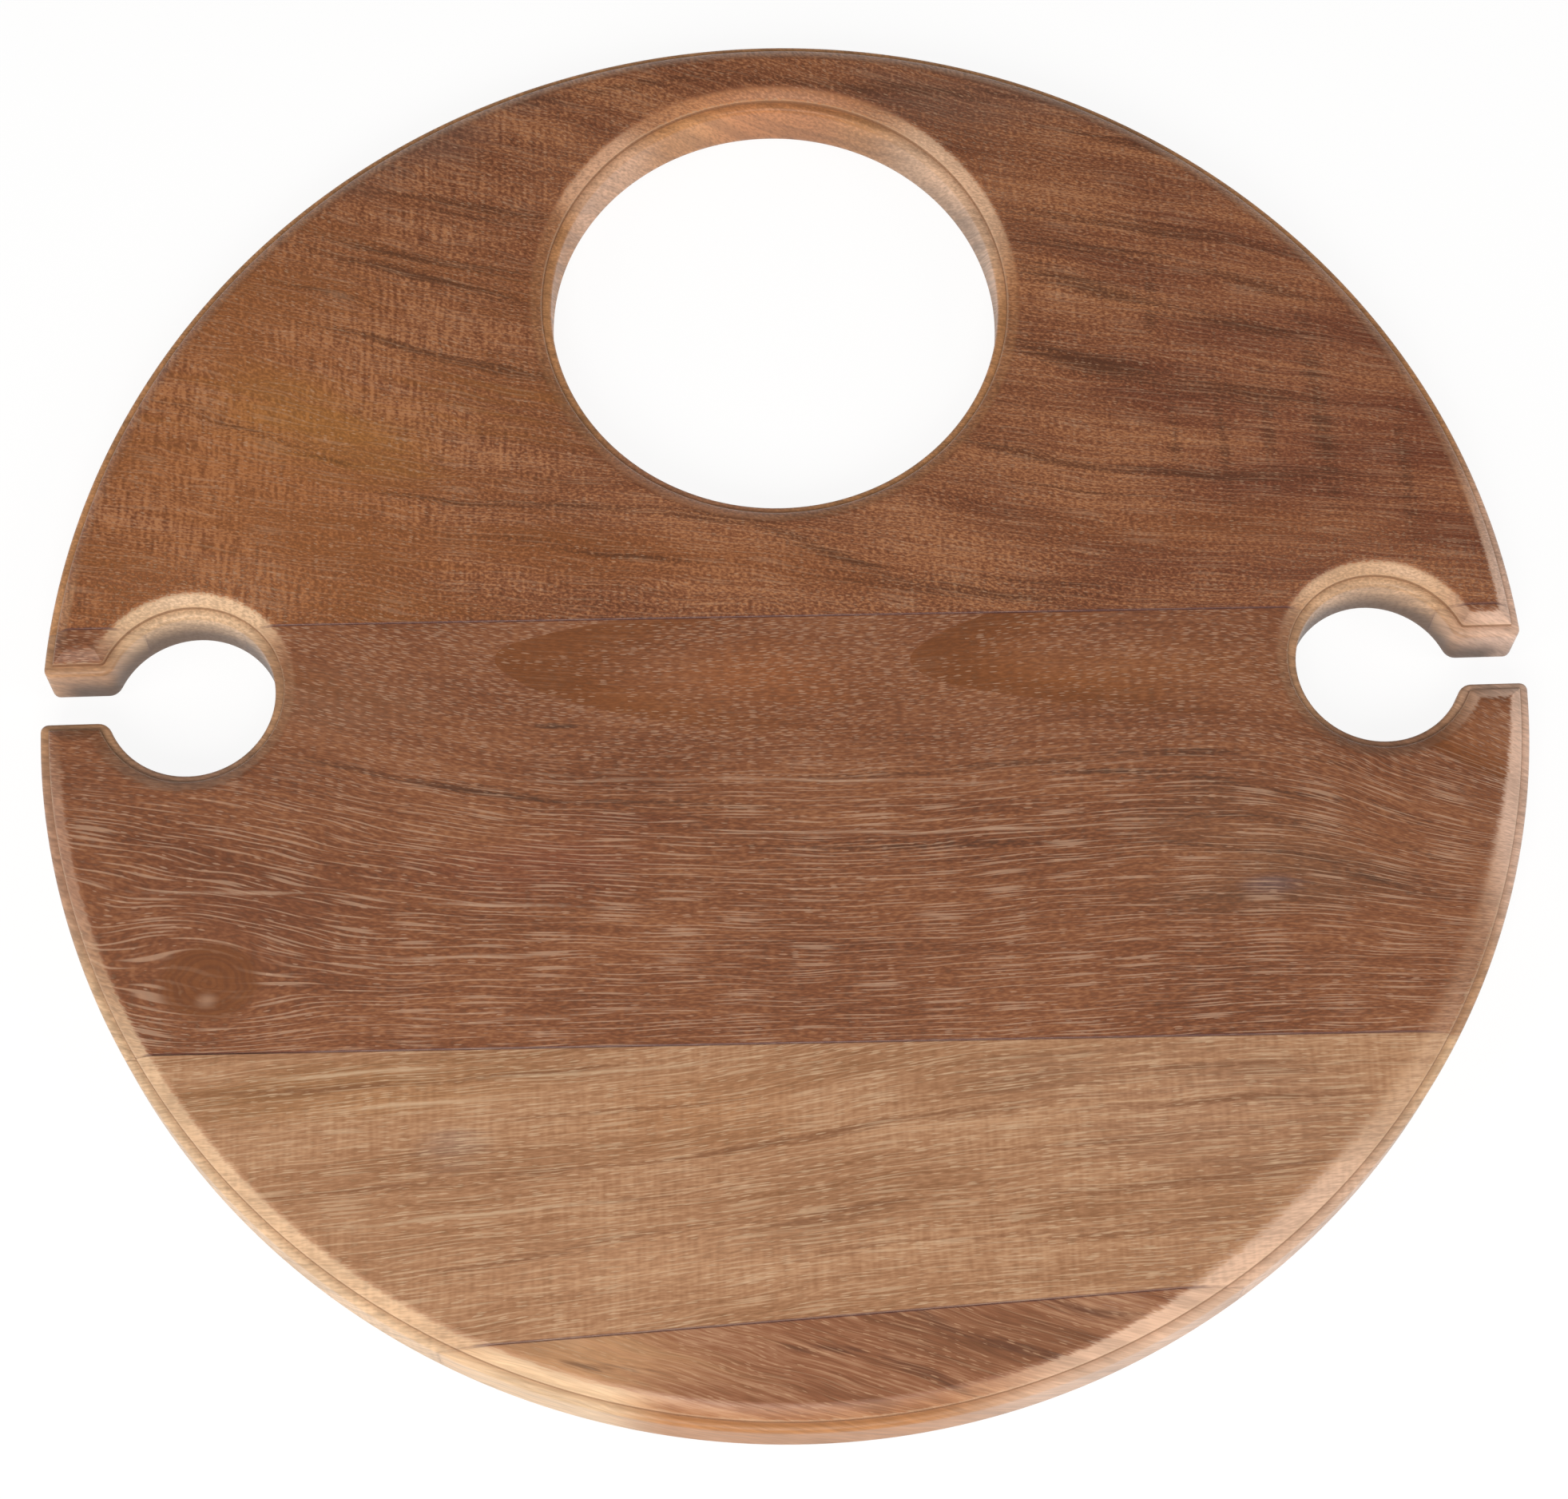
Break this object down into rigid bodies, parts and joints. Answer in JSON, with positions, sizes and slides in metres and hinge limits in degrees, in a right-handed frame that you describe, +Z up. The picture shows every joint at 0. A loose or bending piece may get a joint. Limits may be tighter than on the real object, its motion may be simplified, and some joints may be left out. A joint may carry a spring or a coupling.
{
  "type": "wine bottle holder",
  "caption": "Round edge-glued wooden board with a large hole for a wine bottle and a keyhole slot at each side for a glass stem.",
  "frame": {"origin": "middle of the board's underside", "axes": "+Z up out of the face, +Y towards the bottle hole, X along the wood grain from slot to slot"},
  "size_m": [0.3048, 0.305, 0.017],
  "materials": {
    "back_stave_wood": "oiled satin",
    "middle_stave_wood": "oiled satin",
    "front_stave_wood": "oiled satin",
    "tip_stave_wood": "oiled satin",
    "lip_wood": "oiled satin"
  },
  "bodies": {
    "root": {"back_stave": "back_stave_wood", "middle_stave": "middle_stave_wood", "front_stave": "front_stave_wood", "tip_stave": "tip_stave_wood", "left_lip": "lip_wood", "right_lip": "lip_wood"}
  },
  "joints": []
}
